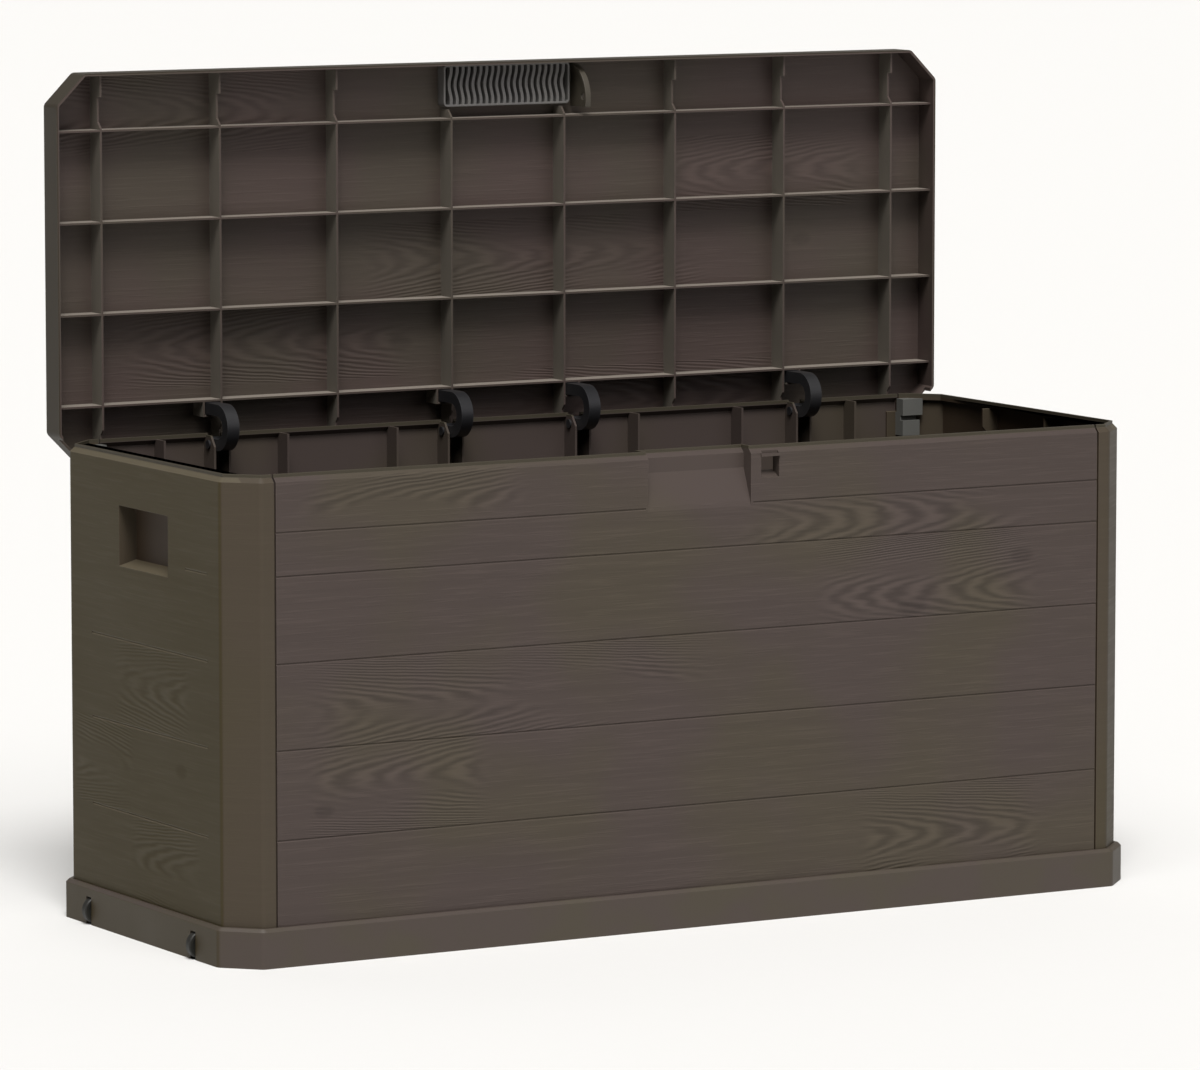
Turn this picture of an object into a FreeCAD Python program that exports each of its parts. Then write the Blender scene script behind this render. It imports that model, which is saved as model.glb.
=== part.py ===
"""Deck storage box: a moulded plastic chest of five wall and base panels with a ribbed lid on four
gooseneck hinges. Millimetres, +X along the length, -Y is the front, +Z up, origin at the centre of
the base's underside. The lid is drawn shut, as it is moulded, and then swung open about its hinges."""
import FreeCAD, Part
import operator
import os
import Sketcher

doc = FreeCAD.newDocument("deck_storage_box")
sheet = doc.addObject("Spreadsheet::Sheet", "Sizes")
vector = FreeCAD.Vector
arithmetic = {"+": operator.add, "-": operator.sub, "*": operator.mul, "/": operator.truediv}
pieces = []


class Size:
    """A length together with the sheet expression that gives it."""

    def __init__(self, value, text):
        self.value = value
        self.text = text

    def __add__(self, other):
        return joined(self, "+", other)

    def __radd__(self, other):
        return joined(other, "+", self)

    def __sub__(self, other):
        return joined(self, "-", other)

    def __rsub__(self, other):
        return joined(other, "-", self)

    def __mul__(self, other):
        return joined(self, "*", other)

    def __rmul__(self, other):
        return joined(other, "*", self)

    def __truediv__(self, other):
        return joined(self, "/", other)

    def __neg__(self):
        return joined(-1, "*", self)


def size_of(number):
    return number if isinstance(number, Size) else Size(number, f"({number})")


def joined(left, sign, right):
    left, right = size_of(left), size_of(right)
    return Size(arithmetic[sign](left.value, right.value), f"({left.text} {sign} {right.text})")


def cell(name, value):
    """One driving dimension: a row of the sheet with its own alias."""
    row = cell.row = getattr(cell, "row", 0) + 1
    sheet.set(f"A{row}", name)
    sheet.set(f"B{row}", str(value))
    sheet.setAlias(f"B{row}", name)
    return Size(value, f"Sizes.{name}")


# ---- driving dimensions ----
base_length = cell("base_length", 1170)
base_width = cell("base_width", 450)
base_height = cell("base_height", 43.5)
base_corner = cell("base_corner", 37)
ledge_bevel = cell("ledge_bevel", 3.5)
floor_top = cell("floor_top", 36)
floor_thick = cell("floor_thick", 3)
ridge_height = cell("ridge_height", 8)
support_pitch_x = cell("support_pitch_x", 117)
support_pitch_y = cell("support_pitch_y", 112)
support_thick = cell("support_thick", 2.5)

wall_inset = cell("wall_inset", 7.5)
wall_thick = cell("wall_thick", 3)
wall_corner = cell("wall_corner", 33.6)
corner_round = cell("corner_round", 9)
seam_x = cell("seam_x", 528)
seam_gap = cell("seam_gap", 2.4)
flange_thick = cell("flange_thick", 2.7)
flange_lap = cell("flange_lap", 14)
flange_top = cell("flange_top", 512)
groove_depth = cell("groove_depth", 1.3)
groove_half = cell("groove_half", 1.3)
plank_1 = cell("plank_joint_1", 136.5)
plank_2 = cell("plank_joint_2", 234)
plank_3 = cell("plank_joint_3", 328)
plank_4 = cell("plank_joint_4", 422.5)
plank_5 = cell("plank_joint_5", 470)

rim_low = cell("rim_low", 524.5)
rim_slope = cell("rim_slope", 5)
rim_depth = cell("rim_depth", 8)
rim_bar = cell("rim_bar", 6)
rim_ring = cell("rim_ring", 4)
lip_width = cell("lip_width", 2.5)
lip_height = cell("lip_height", 3.5)

brace_thick = cell("brace_thick", 2.5)
brace_deep = cell("brace_deep", 24.5)
brace_shallow = cell("brace_shallow", 9)
brace_gap = cell("brace_gap", 10)
brace_turn = cell("brace_turn", 430)
brace_full = cell("brace_full", 470)
brace_lap = cell("brace_lap", 0.5)
brace_inner = cell("brace_inner", 159.5)
brace_middle = cell("brace_middle", 300)
brace_outer = cell("brace_outer", 456)
end_groove_front = cell("end_groove_front", 153)
end_groove_rear = cell("end_groove_rear", 130)
end_groove_stop = cell("end_groove_stop", 102)
end_brace_y = cell("end_brace_y", 65.5)
end_brace_deep = cell("end_brace_deep", 20)
end_brace_turn = cell("end_brace_turn", 492)
end_brace_full = cell("end_brace_full", 505)
end_brace_top = cell("end_brace_top", 526)

scoop_half = cell("scoop_half", 66)
scoop_low = cell("scoop_low", 467)
scoop_bend = cell("scoop_bend", 508)
scoop_depth = cell("scoop_depth", 16.5)
hasp_left = cell("hasp_left", 79)
hasp_size = cell("hasp_size", 23.6)
hasp_low = cell("hasp_low", 497)
hasp_depth = cell("hasp_depth", 14)
hasp_shelf = cell("hasp_shelf", 2)
hasp_dip = cell("hasp_dip", 2.6)
hasp_ramp = cell("hasp_ramp", 7)

cup_half = cell("cup_half", 60)
cup_low = cell("cup_low", 409)
cup_high = cell("cup_high", 476)
cup_depth = cell("cup_depth", 21)
cup_sill = cell("cup_sill", 6)
cup_wall = cell("cup_wall", 2.5)

clip_width = cell("clip_width", 27.5)
clip_front = cell("clip_front", 195)
clip_low = cell("clip_low", 484)
clip_top = cell("clip_top", 527.5)
clip_slit_low = cell("clip_slit_low", 502)
clip_slit_high = cell("clip_slit_high", 508)
clip_slit_deep = cell("clip_slit_deep", 6)
clip_step = cell("clip_step", 4)

lid_length = cell("lid_length", 1156)
lid_width = cell("lid_width", 438)
lid_top = cell("lid_top", 562.3)
lid_depth = cell("lid_depth", 35)
lid_skin = cell("lid_skin", 3)
lid_corner = cell("lid_corner", 34.8)
lid_round = cell("lid_round", 8)
lid_edge_round = cell("lid_edge_round", 3)
lid_rib_thick = cell("lid_rib_thick", 2.2)
lid_rib_recess = cell("lid_rib_recess", 7)
lid_rib_pitch = cell("lid_rib_pitch", 148.6)
lid_cross_first = cell("lid_cross_first", 65)
lid_cross_pitch = cell("lid_cross_pitch", 102.8)
lid_step_front = cell("lid_step_front", 27)
lid_step_back = cell("lid_step_back", 55)
lid_step_rise = cell("lid_step_rise", 7)
lid_trim_from = cell("lid_trim_from", 187)
lid_trim_rise = cell("lid_trim_rise", 12.2)
lid_open = cell("lid_open", 90)

grip_left = cell("grip_left", -79)
grip_width = cell("grip_width", 166)
grip_deep = cell("grip_deep", 48)
grip_recess = cell("grip_recess", 17)
grip_frame = cell("grip_frame", 2.6)
grip_slats = 20
grip_slat_thick = cell("grip_slat_thick", 3.2)

tongue_left = cell("tongue_left", 94)
tongue_width = cell("tongue_width", 7)
tongue_radius = cell("tongue_radius", 40)
tongue_band = cell("tongue_band", 4)
tongue_web = cell("tongue_web", 2.6)
tongue_eye = cell("tongue_eye", 4)

hinge_y = cell("hinge_y", 202)
hinge_z = cell("hinge_z", 521)
hinge_inner = cell("hinge_inner", 84)
hinge_outer = cell("hinge_outer", 384)
arm_width = cell("arm_width", 15)
arm_thick = cell("arm_thick", 13)
arm_reach = cell("arm_reach", 39.5)
arm_drop = cell("arm_drop", 14.5)
arm_eye = cell("arm_eye", 8.5)
foot_width = cell("foot_width", 17)
foot_thick = cell("foot_thick", 14.6)
foot_height = cell("foot_height", 20)
ear_gap = cell("ear_gap", 16.4)
ear_thick = cell("ear_thick", 2.5)
ear_low = cell("ear_low", 440)
ear_front = cell("ear_front", 189)
ear_top = cell("ear_top", 531)
ear_bend = cell("ear_bend", 474)
ear_round = cell("ear_round", 12)
notch_low = cell("notch_low", 510)
pin_radius = cell("pin_radius", 3)
pin_play = cell("pin_play", 0.05)
pin_head = cell("pin_head", 2)

wheel_x = cell("wheel_x", 576)
wheel_y = cell("wheel_y", 128.7)
wheel_z = cell("wheel_z", 15.8)
wheel_radius = cell("wheel_radius", 15.5)
wheel_width = cell("wheel_width", 10)
wheel_bevel = cell("wheel_bevel", 1.2)
hub_radius = cell("hub_radius", 7)
hub_recess = cell("hub_recess", 1.5)
axle_radius = cell("axle_radius", 3)
axle_play = cell("axle_play", 0.05)
slot_width = cell("slot_width", 12.5)
slot_height = cell("slot_height", 31)
carrier_thick = cell("carrier_thick", 3)

# ---- sizes that follow from them ----
wall_half_x = base_length / 2 - wall_inset
wall_half_y = base_width / 2 - wall_inset
rim_top = rim_low + rim_slope
lip_top = rim_top + lip_height
panel_half = seam_x - seam_gap / 2
lid_low = lid_top - lid_depth
lid_inner = lid_top - lid_skin
rib_low = lid_low + lid_rib_recess
skirt_inner_y = lid_width / 2 - lid_skin
cross_ribs = [lid_width / 2 - lid_cross_first - lid_cross_pitch * row for row in range(4)]
hinge_places = {
    "hinge_1": -hinge_outer, "hinge_2": -hinge_inner, "hinge_3": hinge_inner, "hinge_4": hinge_outer,
}
corner_shrink = 0.5858  # a 45 degree corner shortens by this share of each inset


# ---- how a sub-part is drawn ----
def rectangle(low_across, high_across, low_up, high_up):
    return [(low_across, low_up), (high_across, low_up), (high_across, high_up), (low_across, high_up)]


def octagon(half_x, half_y, corner):
    return [
        (half_x - corner, -half_y), (half_x, corner - half_y), (half_x, half_y - corner),
        (half_x - corner, half_y), (corner - half_x, half_y), (-half_x, half_y - corner),
        (-half_x, corner - half_y), (corner - half_x, -half_y),
    ]


def inset_octagon(half_x, half_y, corner, inset):
    return octagon(half_x - inset, half_y - inset, corner - inset * corner_shrink)


def circle(across, up, radius):
    return ("circle", across, up, radius)


def new_body(name):
    body = doc.addObject("PartDesign::Body", name)
    body.Label = name
    pieces.append(body)
    return body


def bound_constraints(sketch, wanted):
    """Adds (kind, arguments, size) constraints and ties each to the sheet."""
    first = sketch.ConstraintCount
    sketch.addConstraint([Sketcher.Constraint(kind, *where, length.value) for kind, where, length in wanted])
    for step, (kind, where, length) in enumerate(wanted):
        sketch.setExpression(f"Constraints[{first + step}]", length.text)


def draw_polygon(sketch, corners):
    corners = [(size_of(across), size_of(up)) for across, up in corners]
    first = sketch.GeometryCount
    count = len(corners)
    following = corners[1:] + corners[:1]
    sketch.addGeometry([
        Part.LineSegment(vector(a.value, b.value, 0), vector(c.value, d.value, 0))
        for (a, b), (c, d) in zip(corners, following)
    ])
    sketch.addConstraint([
        Sketcher.Constraint("Coincident", first + side, 2, first + (side + 1) % count, 1)
        for side in range(count)
    ])
    wanted = []
    for side, (across, up) in enumerate(corners):
        wanted.append(("DistanceX", (-1, 1, first + side, 1), across))
        wanted.append(("DistanceY", (-1, 1, first + side, 1), up))
    bound_constraints(sketch, wanted)


def draw_circle(sketch, across, up, radius):
    across, up, radius = size_of(across), size_of(up), size_of(radius)
    number = sketch.GeometryCount
    sketch.addGeometry(Part.Circle(vector(across.value, up.value, 0), vector(0, 0, 1), radius.value))
    bound_constraints(sketch, [
        ("DistanceX", (-1, 1, number, 3), across),
        ("DistanceY", (-1, 1, number, 3), up),
        ("Radius", (number,), radius),
    ])


def sketch_on(body, plane, start, outlines):
    """A sketch on one of the body's origin planes, shifted along that plane's axis to start."""
    sketch = body.newObject("Sketcher::SketchObject", body.Name + "_outline")
    role = plane + "_Plane"
    support = next(feature for feature in body.Origin.OriginFeatures if feature.Role == role)
    sketch.AttachmentSupport = [(support, "")]
    sketch.MapMode = "FlatFace"
    sketch.setExpression("AttachmentOffset.Base.z", start.text)
    for outline in outlines:
        if outline[0] == "circle":
            draw_circle(sketch, *outline[1:])
        else:
            draw_polygon(sketch, outline)
    return sketch


def prism(kind, body, plane, low, high, outlines):
    """Adds (Pad) or removes (Pocket) the outlines between low and high along the plane's axis."""
    low, high = size_of(low), size_of(high)
    start = -high if plane == "XZ" else low
    sketch = sketch_on(body, plane, start, outlines)
    feature = body.newObject("PartDesign::" + kind, body.Name + "_" + kind.lower())
    feature.Profile = sketch
    feature.setExpression("Length", (high - low).text)
    feature.Reversed = kind == "Pocket"
    return feature


def pad(body, plane, low, high, *outlines):
    return prism("Pad", body, plane, low, high, outlines)


def pocket(body, plane, low, high, *outlines):
    return prism("Pocket", body, plane, low, high, outlines)


def dress(kind, body, size, wanted):
    """Rounds or bevels the edges of the body's last feature that wanted(edge) picks."""
    doc.recompute()
    base = body.Tip
    names = [f"Edge{number}" for number, edge in enumerate(base.Shape.Edges, 1) if wanted(edge)]
    if not names:
        raise ValueError(f"{body.Label}: no edge to {kind}")
    feature = body.newObject("PartDesign::" + kind, body.Name + "_" + kind.lower())
    feature.Base = (base, names)
    feature.setExpression("Radius" if kind == "Fillet" else "Size", size.text)
    body.Tip = feature
    doc.recompute()
    return feature


def middle(edge):
    return edge.valueAt((edge.FirstParameter + edge.LastParameter) / 2)


def upright(edge):
    low, high = edge.BoundBox.ZMin, edge.BoundBox.ZMax
    return high - low > 5 and edge.BoundBox.XLength < 0.01 and edge.BoundBox.YLength < 0.01


def on_octagon(point, half_x, half_y, corner):
    """Whether a point seen from above lies on the octagon's line, within a tenth of a millimetre."""
    across, along = abs(point.x) - half_x.value, abs(point.y) - half_y.value
    bevel = (across + along + corner.value) / 2 ** 0.5
    return abs(max(across, along, bevel)) < 0.1


def swing_open(body):
    """The lid and what it carries are drawn shut, and stand open at rest."""
    turn = FreeCAD.Rotation(vector(1, 0, 0), -lid_open.value)
    body.Placement = FreeCAD.Placement(vector(0, 0, 0), turn, vector(0, hinge_y.value, hinge_z.value))


# ---- the base tray ----
def wheel_slots():
    return [(side * wheel_y - slot_width / 2, side * wheel_y + slot_width / 2) for side in (-1, 1)]


def make_base_tray():
    body = new_body("base_tray")
    half_x, half_y = base_length / 2, base_width / 2
    pad(body, "XY", 0, base_height, octagon(half_x, half_y, base_corner))
    dress("Fillet", body, corner_round, upright)
    top = base_height.value
    dress("Chamfer", body, ledge_bevel, lambda edge: min(edge.BoundBox.ZMin, top) > top - 0.01)
    under = floor_top - floor_thick
    pocket(body, "XY", 0, under, inset_octagon(half_x, half_y, base_corner, wall_thick))
    seat = inset_octagon(wall_half_x, wall_half_y, wall_corner, -0.2)
    pocket(body, "XY", floor_top, base_height, seat)
    outer = inset_octagon(wall_half_x, wall_half_y, wall_corner, wall_thick + flange_thick + 0.3)
    inner = inset_octagon(wall_half_x, wall_half_y, wall_corner, wall_thick + flange_thick + 2.3)
    pad(body, "XY", floor_top, floor_top + ridge_height, outer, inner)
    reach_x, reach_y = half_x - wall_thick / 2, half_y - wall_thick / 2
    thin = support_thick / 2
    lengthwise = [
        rectangle(-reach_x, reach_x, support_pitch_y * row - thin, support_pitch_y * row + thin)
        for row in (-1, 0, 1)
    ]
    pad(body, "XY", 0, under, *lengthwise)
    crosswise = [
        rectangle(support_pitch_x * row - thin, support_pitch_x * row + thin, -reach_y, reach_y)
        for row in range(-4, 5)
    ]
    pad(body, "XY", 0, under, *crosswise)
    openings = [rectangle(low, high, -1, slot_height) for low, high in wheel_slots()]
    pocket(body, "YZ", -half_x - 1, wall_thick + 0.5 - half_x, *openings)
    back = wheel_radius + 6 - wheel_x
    carriers = []
    for low, high in wheel_slots():
        carriers.append(rectangle(1 - half_x, back, low - carrier_thick, low))
        carriers.append(rectangle(1 - half_x, back, high, high + carrier_thick))
    pad(body, "XY", 2, under, *carriers)
    for low, high in wheel_slots():
        bore = circle(-wheel_x, wheel_z, axle_radius)
        pocket(body, "XZ", low - carrier_thick - 1, high + carrier_thick + 1, bore)


# ---- the walls ----
def rim_section(side):
    """Section of a long wall in Y and Z with its sloped shoulder and raised lip; side is -1 in front."""
    outer, inner = side * wall_half_y, side * (wall_half_y - wall_thick)
    bar = side * (wall_half_y - rim_depth)
    lip = side * (wall_half_y - rim_depth + lip_width)
    shoulder = side * (wall_half_y - rim_slope)
    return [
        (outer, floor_top), (inner, floor_top), (inner, rim_top - rim_bar),
        (bar, rim_top - rim_bar + rim_slope), (bar, lip_top), (lip, lip_top), (lip, rim_top),
        (shoulder, rim_top), (outer, rim_low),
    ]


def groove_marks(face, inward, heights):
    """V grooves between planks, cut into a face at face, going inward."""
    return [
        [(face - inward * 1, height + groove_half * 2), (face - inward * 1, height - groove_half * 2),
         (face + inward * groove_depth, height)]
        for height in heights
    ]


def brace_section(side):
    """Section of an upright brace inside a long wall, deeper at the top, ending under the rim."""
    inner = side * (wall_half_y - wall_thick + 0.2)
    shallow = side * (wall_half_y - wall_thick - brace_shallow)
    deep = side * (wall_half_y - wall_thick - brace_deep)
    bar = side * (wall_half_y - rim_depth)
    foot = floor_top + brace_gap
    top = rim_top - brace_lap
    return [
        (inner, foot), (shallow, foot), (shallow, brace_turn), (deep, brace_full), (deep, top), (bar, top),
        (inner, top - rim_slope),
    ]


def long_wall(name, side):
    body = new_body(name)
    pad(body, "YZ", -panel_half, panel_half, rim_section(side))
    heights = (plank_1, plank_2, plank_3, plank_4, plank_5)
    grooves = groove_marks(side * wall_half_y, -side, heights)
    pocket(body, "YZ", -panel_half - 1, panel_half + 1, *grooves)
    for place in (brace_inner, brace_middle, brace_outer):
        for end in (-1, 1):
            centre = end * place
            pad(body, "YZ", centre - brace_thick / 2, centre + brace_thick / 2, brace_section(side))
    return body


def ordered(first, second):
    return (first, second) if first.value < second.value else (second, first)


def make_front_panel():
    body = long_wall("front_panel", -1)
    face, inner = -wall_half_y, wall_thick - wall_half_y
    back = scoop_depth - wall_half_y
    skin = back + wall_thick
    bar = back + rim_depth
    shell = [
        (face, scoop_low - 3), (inner, scoop_low - 5), (skin, scoop_bend - 3), (skin, rim_top - rim_bar),
        (bar, rim_top - rim_bar + rim_slope), (bar, lip_top), (face + rim_slope + 0.5, lip_top),
        (face + rim_slope + 0.5, rim_top), (face + rim_slope, rim_top), (face, rim_low),
    ]
    pad(body, "YZ", -scoop_half - wall_thick, scoop_half + wall_thick, shell)
    hollow = [
        (face - 1, scoop_low), (face, scoop_low), (back, scoop_bend), (back, rim_low),
        (back + rim_slope, rim_top), (bar - lip_width, rim_top), (bar - lip_width, lip_top + 2),
        (face - 1, lip_top + 2),
    ]
    pocket(body, "YZ", -scoop_half, scoop_half, hollow)
    right, high = hasp_left + hasp_size, hasp_low + hasp_size
    box = rectangle(hasp_left - wall_thick, right + wall_thick, hasp_low - wall_thick, high + wall_thick)
    pad(body, "XZ", inner - 0.2, face + hasp_depth, box)
    hole = rectangle(hasp_left, right, hasp_low, high)
    pocket(body, "XZ", face - 1, face + hasp_depth + 1, hole)
    shelf_top = high + wall_thick
    pad(body, "XZ", face - hasp_shelf, face + 1, rectangle(hasp_left - 0.5, right + 0.5, high, shelf_top))
    dip = rectangle(hasp_left + 1, right - 1, shelf_top, rim_top - 0.5)
    pocket(body, "XZ", face - 1, face + hasp_dip, dip)
    ramp = [
        (face + 2, hasp_low - 0.5), (face + hasp_depth, hasp_low - 0.5),
        (face + hasp_depth, hasp_low + hasp_ramp),
    ]
    pad(body, "YZ", hasp_left - 0.5, right + 0.5, ramp)


def make_rear_panel():
    body = long_wall("rear_panel", 1)
    inner = wall_half_y - wall_thick
    notch = rectangle(ear_front, inner, notch_low, lip_top + 2)
    for place in hinge_places.values():
        pocket(body, "YZ", place - ear_gap / 2, place + ear_gap / 2, notch)
    lip = wall_half_y - rim_depth + lip_width
    ear = [
        (inner + 0.2, ear_low), (inner - brace_shallow, ear_low), (ear_front, ear_bend),
        (ear_front, ear_top - ear_round), (ear_front + ear_round * 0.75, ear_top), (lip, ear_top),
        (inner + 0.2, rim_low),
    ]
    for place in hinge_places.values():
        for end in (-1, 1):
            near, far = place + end * ear_gap / 2, place + end * (ear_gap / 2 + ear_thick)
            pad(body, "YZ", *ordered(near, far), ear)
        reach = ear_gap / 2 + ear_thick + 1
        pocket(body, "YZ", place - reach, place + reach, circle(hinge_y, hinge_z, pin_radius))


def end_plan(side, outer, inner, end):
    """Plan of an end wall between two insets, wrapping round both corners as far as end."""
    out_x, out_y = wall_half_x - outer, wall_half_y - outer
    in_x, in_y = wall_half_x - inner, wall_half_y - inner
    out_corner = wall_corner - outer * corner_shrink
    in_corner = wall_corner - inner * corner_shrink
    path = [
        (end, -out_y), (out_x - out_corner, -out_y), (out_x, out_corner - out_y),
        (out_x, out_y - out_corner), (out_x - out_corner, out_y), (end, out_y), (end, in_y),
        (in_x - in_corner, in_y), (in_x, in_y - in_corner),
        (in_x, in_corner - in_y), (in_x - in_corner, -in_y), (end, -in_y),
    ]
    return [(side * across, along) for across, along in path]


def end_wall(name, side):
    body = new_body(name)
    end = seam_x + seam_gap / 2
    rim_from = rim_top - rim_ring
    pad(body, "XY", floor_top, rim_from + 1, end_plan(side, size_of(0), wall_thick, end))
    pad(body, "XY", rim_from, rim_top, end_plan(side, size_of(0), rim_depth, end))

    def outer_corner(edge):
        return upright(edge) and on_octagon(middle(edge), wall_half_x, wall_half_y, wall_corner) \
            and abs(middle(edge).x) > end.value + 1

    dress("Fillet", body, corner_round, outer_corner)

    def outer_top(edge):
        spot = middle(edge)
        cornered = on_octagon(spot, wall_half_x, wall_half_y, wall_corner)
        curved = edge.Curve.TypeId == "Part::GeomCircle"
        level = edge.BoundBox.ZMin > rim_top.value - 0.01
        near_x, near_y = wall_half_x.value - wall_thick.value, wall_half_y.value - wall_thick.value
        outside = abs(spot.x) > near_x or abs(spot.y) > near_y or curved or cornered
        return level and outside and abs(abs(spot.x) - end.value) > 0.1

    dress("Chamfer", body, rim_slope, outer_top)
    lip = end_plan(side, rim_depth - lip_width, rim_depth, end)
    pad(body, "XY", rim_top - 1, lip_top, lip)
    face = side * wall_half_x
    inward = -side
    cup_back = side * (wall_half_x - cup_depth - cup_wall)
    low, high = ordered(side * (wall_half_x - wall_thick + 0.5), cup_back)
    cup_side = cup_half + cup_wall
    pad(body, "YZ", low, high, rectangle(-cup_side, cup_side, cup_low - 4, cup_high + cup_wall))
    low, high = ordered(face + side * 1, face + inward * cup_depth)
    pocket(body, "YZ", low, high, rectangle(-cup_half, cup_half, cup_low, cup_high))
    sill = [
        (face, cup_low - 0.5), (face + inward * cup_depth, cup_low - 0.5),
        (face + inward * cup_depth, cup_low + cup_sill), (face, cup_low),
    ]
    pad(body, "XZ", -cup_half - 0.5, cup_half + 0.5, sill)
    grooves = groove_marks(face, inward, (plank_1, plank_2, plank_3))
    pocket(body, "XZ", -end_groove_front, end_groove_rear, *grooves)
    pocket(body, "XZ", -end_groove_front, -end_groove_stop, *groove_marks(face, inward, (plank_4,)))
    flange_x = side * (seam_x - flange_lap)
    for end_side in (-1, 1):
        flange_back = wall_half_y - wall_thick
        low, high = ordered(end_side * flange_back, end_side * (flange_back - flange_thick))
        across = ordered(flange_x, side * (wall_half_x - wall_corner - 1))
        pad(body, "XZ", low, high, rectangle(*across, floor_top, flange_top))
    brace_from = side * (wall_half_x - wall_thick + 0.2)
    brace_to = side * (wall_half_x - wall_thick - end_brace_deep)
    brace_mid = side * (wall_half_x - wall_thick - brace_shallow)
    foot = floor_top + brace_gap
    brace = [
        (brace_from, foot), (brace_mid, foot), (brace_mid, end_brace_turn), (brace_to, end_brace_full),
        (brace_to, end_brace_top), (brace_from, end_brace_top),
    ]
    for place in (-end_brace_y, end_brace_y):
        pad(body, "XZ", place - brace_thick / 2, place + brace_thick / 2, brace)


# ---- the clips at the four inner corners ----
def quarter(plan, side, end):
    """A plan drawn in the right rear quarter, mirrored into another one."""
    return [(side * across, end * along) for across, along in plan]


def make_corner_clips():
    reach = wall_half_y - rim_depth - 0.3
    chamfer_x = wall_half_x - wall_corner + rim_depth * corner_shrink - rim_depth - 0.3
    far = seam_x - 2 + clip_width
    names = {"front_left": (-1, -1), "front_right": (1, -1), "rear_left": (-1, 1), "rear_right": (1, 1)}
    for name, (side, end) in names.items():
        body = new_body(name + "_corner_clip")
        plan = [
            (seam_x - 2, clip_front), (far, clip_front), (far, reach - (far - chamfer_x) + 0.1),
            (chamfer_x, reach), (seam_x - 2, reach),
        ]
        pad(body, "XY", clip_low, clip_top, quarter(plan, side, end))
        back = wall_half_y - wall_thick - flange_thick
        tail = rectangle(seam_x - 2, chamfer_x - 1, reach - 1, back)
        pad(body, "XY", clip_low, flange_top - 1, quarter(tail, side, end))
        slit = rectangle(seam_x - 3, far + 1, clip_front - 1, clip_front + clip_slit_deep)
        pocket(body, "XY", clip_slit_low, clip_slit_high, quarter(slit, side, end))
        step = rectangle(far - clip_step, far + 1, clip_front - 1, reach)
        pocket(body, "XY", clip_low - 1, clip_slit_low, quarter(step, side, end))


# ---- the lid, drawn shut ----
def make_lid_panel():
    body = new_body("lid_panel")
    half_x, half_y = lid_length / 2, lid_width / 2
    pad(body, "XY", lid_low, lid_top, octagon(half_x, half_y, lid_corner))
    dress("Fillet", body, lid_round, upright)
    dress("Fillet", body, lid_edge_round, lambda edge: edge.BoundBox.ZMin > lid_top.value - 0.01)
    pocket(body, "XY", lid_low, lid_inner, inset_octagon(half_x, half_y, lid_corner, lid_skin))
    thin = lid_rib_thick / 2
    reach_y = skirt_inner_y + 0.5
    ribs = []
    for column in (-3.5, -2.5, -1.5, -0.5, 0.5, 1.5, 2.5, 3.5):
        place = lid_rib_pitch * column
        front = grip_deep + 3 - skirt_inner_y if abs(column) < 1 else -reach_y
        ribs.append(rectangle(place - thin, place + thin, front, reach_y))
    pad(body, "XY", rib_low, lid_inner + 0.5, *ribs)
    reach_x = half_x - lid_skin + 0.5
    rows = [rectangle(-reach_x, reach_x, row - thin, row + thin) for row in cross_ribs]
    pad(body, "XY", rib_low, lid_inner + 0.5, *rows)
    step_front, step_back = lid_step_front - half_y, lid_step_back - half_y
    step_top = rib_low + lid_step_rise
    step = [
        (step_front, rib_low - 1), (step_front, step_top), (step_back, step_top),
        (step_back + lid_step_rise, rib_low), (step_back + lid_step_rise, rib_low - 1),
    ]
    pocket(body, "YZ", lid_corner - half_x, half_x - lid_corner, step)
    trim_top = lid_low + lid_trim_rise
    trim = [
        (lid_trim_from - 6, rib_low - 0.1), (lid_trim_from, trim_top), (half_y + 1, trim_top),
        (half_y + 1, lid_low - 1), (lid_trim_from, lid_low - 1), (lid_trim_from - 6, lid_low - 1),
    ]
    pocket(body, "YZ", 5 - half_x, half_x - 5, trim)
    socket_plates(body)
    plank = lid_width / 5
    marks = []
    for row in (-1.5, -0.5, 0.5, 1.5):
        marks.append([
            (plank * row - groove_half * 2, lid_top + 1), (plank * row, lid_top - groove_depth),
            (plank * row + groove_half * 2, lid_top + 1),
        ])
    pocket(body, "YZ", -half_x - 1, half_x + 1, *marks)
    swing_open(body)


def socket_plates(body):
    """An L of thin plate round the outboard side and the rear of each hinge arm's foot."""
    near = cross_ribs[0] + lid_rib_thick / 2 - 0.5
    rear = hinge_y - arm_reach + foot_thick / 2 + 0.4
    thick = 2
    outlines = []
    for place in hinge_places.values():
        side = 1 if place.value > 0 else -1
        inboard = place - side * (foot_width / 2 - 1)
        inside = place + side * (foot_width / 2 + 0.3)
        outside = place + side * (foot_width / 2 + 0.3 + thick)
        outlines.append([
            (inside, near), (outside, near), (outside, rear + thick), (inboard, rear + thick),
            (inboard, rear), (inside, rear),
        ])
    pad(body, "XY", rib_low, lid_inner + 0.5, *outlines)


def make_lid_grip():
    body = new_body("lid_grip")
    low = lid_low + grip_recess
    right = grip_left + grip_width
    front, back = -skirt_inner_y, grip_deep - skirt_inner_y
    frame = rectangle(grip_left, right, front, back)
    hollow = rectangle(grip_left + grip_frame, right - grip_frame, front + grip_frame, back - grip_frame)
    pad(body, "XY", low, lid_inner, frame, hollow)
    pitch = (grip_width - grip_frame) / (grip_slats + 1)
    half = grip_slat_thick / 2
    slat_front, slat_back = front + grip_frame - 0.5, back - grip_frame + 0.5
    slats = []
    for number in range(1, grip_slats + 1):
        centre = grip_left + grip_frame / 2 + pitch * number
        slats.append(rectangle(centre - half, centre + half, slat_front, slat_back))
    pad(body, "XY", low + 1, low + 11, *slats)
    swing_open(body)


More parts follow.
